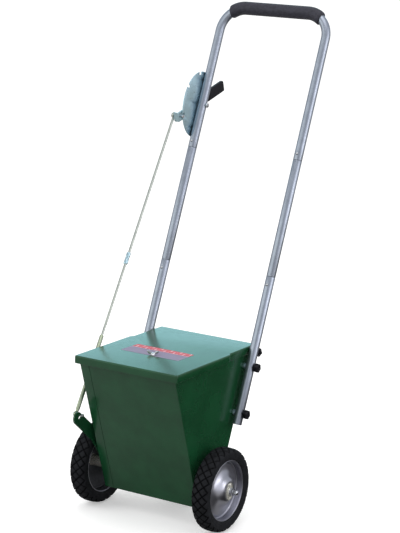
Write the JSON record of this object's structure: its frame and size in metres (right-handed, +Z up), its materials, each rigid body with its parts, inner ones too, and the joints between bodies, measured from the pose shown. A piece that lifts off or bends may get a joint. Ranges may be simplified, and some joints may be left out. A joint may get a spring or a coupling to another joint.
{
  "type": "dry line marker spreader",
  "caption": "Push-along garden spreader: sheet-steel hopper on a wheeled axle, tube handle, notched lever and rod that turn a gate under the trough.",
  "frame": {"origin": "on the ground under the middle of the bounding box", "axes": "+Z up, X along the wheel axle with the lever on the -X side, the hopper front faces -Y and the handle leans back towards +Y"},
  "size_m": [0.442, 0.6616, 1.1927],
  "materials": {
    "green_paint": "gloss enamel on steel sheet",
    "tyre_rubber": "matt black rubber",
    "silver_rim": "satin silver lacquer on pressed steel",
    "foam_grip": "matt closed-cell foam",
    "black_plastic": "satin moulded plastic",
    "tube_finish": "silver metallic powder coat on steel tube",
    "zinc_plate": "bright blue-white zinc plate",
    "bright_steel": "bright plated steel"
  },
  "bodies": {
    "hopper": {"lower_tube_left": "tube_finish", "middle_tube_left": "tube_finish", "lower_tube_right": "tube_finish", "middle_tube_right": "tube_finish", "upper_handle": "tube_finish", "handle_grip": "foam_grip", "side_bolt_lower_left": "bright_steel", "spacer_lower_left": "zinc_plate", "side_bolt_upper_left": "bright_steel", "spacer_upper_left": "zinc_plate", "side_bolt_lower_right": "bright_steel", "spacer_lower_right": "zinc_plate", "side_bolt_upper_right": "bright_steel", "spacer_upper_right": "zinc_plate", "quadrant_plate": "zinc_plate", "lever_pivot_bolt": "bright_steel", "lever_pivot_nut": "bright_steel", "front_panel": "green_paint", "rear_panel": "green_paint", "side_panel_left": "green_paint", "side_panel_right": "green_paint", "trough": "green_paint", "lid_strap": "zinc_plate", "axle_bush_left": "black_plastic", "axle_bush_right": "black_plastic", "rear_stand": "green_paint"},
    "drive_axle": {"axle": "bright_steel", "agitator": "zinc_plate", "drive_pin": "bright_steel", "tyre_left": "tyre_rubber", "rim_left": "silver_rim", "hub_left": "zinc_plate", "axle_nut_left": "bright_steel", "axle_nut_right": "bright_steel"},
    "right_wheel": {"tyre_right": "tyre_rubber", "rim_right": "silver_rim", "hub_right": "zinc_plate"},
    "lid": {"lid": "green_paint"},
    "lid_screw": {"lid_wing_screw": "bright_steel"},
    "hand_lever": {"lever": "zinc_plate", "lever_grip": "black_plastic", "lever_pin": "bright_steel", "lever_pin_clip": "bright_steel"},
    "control_rod": {"rod_upper": "bright_steel", "rod_lower": "bright_steel", "rod_coupling": "zinc_plate", "gate_pin": "bright_steel", "gate_pin_clip": "zinc_plate"},
    "gate": {"gate_shutter": "green_paint", "gate_arm_left": "green_paint"},
    "snap_button_lower_left": {"snap_button_lower_left": "bright_steel"},
    "snap_button_lower_right": {"snap_button_lower_right": "bright_steel"},
    "snap_button_upper_left": {"snap_button_upper_left": "bright_steel"},
    "snap_button_upper_right": {"snap_button_upper_right": "bright_steel"},
    "side_knob_lower_left": {"side_knob_lower_left": "black_plastic"},
    "side_knob_upper_left": {"side_knob_upper_left": "black_plastic"},
    "rear_knob_left": {"rear_knob_left": "black_plastic"},
    "side_knob_lower_right": {"side_knob_lower_right": "black_plastic"},
    "side_knob_upper_right": {"side_knob_upper_right": "black_plastic"},
    "rear_knob_right": {"rear_knob_right": "black_plastic"}
  },
  "joints": [
    {"name": "axle_spin", "type": "hinge", "parent": "hopper", "child": "drive_axle", "pos_m": [0, -0.17708, 0.1], "axis": [1, 0, 0], "continuous": true},
    {"name": "right_wheel_spin", "type": "hinge", "parent": "hopper", "child": "right_wheel", "pos_m": [0.1732, -0.17708, 0.1], "axis": [1, 0, 0], "continuous": true},
    {"name": "lid_lift", "type": "slide", "parent": "hopper", "child": "lid", "axis": [0, 0, 1], "range_m": [0, 0.25]},
    {"name": "lid_screw_turn", "type": "hinge", "parent": "lid", "child": "lid_screw", "pos_m": [0, -0.21508, 0.4], "axis": [0, 0, 1], "continuous": true},
    {"name": "lever_swing", "type": "hinge", "parent": "hopper", "child": "hand_lever", "pos_m": [-0.168, 0.20942, 0.93617], "axis": [-1, 0, 0], "range_deg": [0, 64]},
    {"name": "rod_turn", "type": "hinge", "parent": "hand_lever", "child": "control_rod", "pos_m": [-0.186, 0.13448, 0.91455], "axis": [1, 0, 0], "range_deg": [0, 69.9]},
    {"name": "gate_turn", "type": "hinge", "parent": "hopper", "child": "gate", "pos_m": [0, -0.17708, 0.1], "axis": [-1, 0, 0], "range_deg": [0, 29.58]},
    {"name": "button_lower_left_press", "type": "slide", "parent": "hopper", "child": "snap_button_lower_left", "axis": [0, 0.9278, -0.373], "range_m": [0, 0.003], "stiffness_N_per_m": 600},
    {"name": "button_lower_right_press", "type": "slide", "parent": "hopper", "child": "snap_button_lower_right", "axis": [0, 0.9278, -0.373], "range_m": [0, 0.003], "stiffness_N_per_m": 600},
    {"name": "button_upper_left_press", "type": "slide", "parent": "hopper", "child": "snap_button_upper_left", "axis": [0, 0.9278, -0.373], "range_m": [0, 0.003], "stiffness_N_per_m": 600},
    {"name": "button_upper_right_press", "type": "slide", "parent": "hopper", "child": "snap_button_upper_right", "axis": [0, 0.9278, -0.373], "range_m": [0, 0.003], "stiffness_N_per_m": 600},
    {"name": "side_knob_lower_left_turn", "type": "hinge", "parent": "hopper", "child": "side_knob_lower_left", "pos_m": [-0.168, -0.06472, 0.25422], "axis": [1, 0, 0], "continuous": true},
    {"name": "side_knob_upper_left_turn", "type": "hinge", "parent": "hopper", "child": "side_knob_upper_left", "pos_m": [-0.168, -0.02239, 0.35952], "axis": [1, 0, 0], "continuous": true},
    {"name": "rear_knob_left_turn", "type": "hinge", "parent": "hopper", "child": "rear_knob_left", "pos_m": [-0.151, 0.007, 0.38974], "axis": [0, 0.9278, -0.373], "continuous": true},
    {"name": "side_knob_lower_right_turn", "type": "hinge", "parent": "hopper", "child": "side_knob_lower_right", "pos_m": [0.168, -0.06472, 0.25422], "axis": [1, 0, 0], "continuous": true},
    {"name": "side_knob_upper_right_turn", "type": "hinge", "parent": "hopper", "child": "side_knob_upper_right", "pos_m": [0.168, -0.02239, 0.35952], "axis": [1, 0, 0], "continuous": true},
    {"name": "rear_knob_right_turn", "type": "hinge", "parent": "hopper", "child": "rear_knob_right", "pos_m": [0.151, 0.007, 0.38974], "axis": [0, 0.9278, -0.373], "continuous": true}
  ],
  "couplings": [
    {"joint": "rod_turn", "follows": "lever_swing", "ratio": 1.0875},
    {"joint": "gate_turn", "follows": "lever_swing", "ratio": 0.45752}
  ]
}
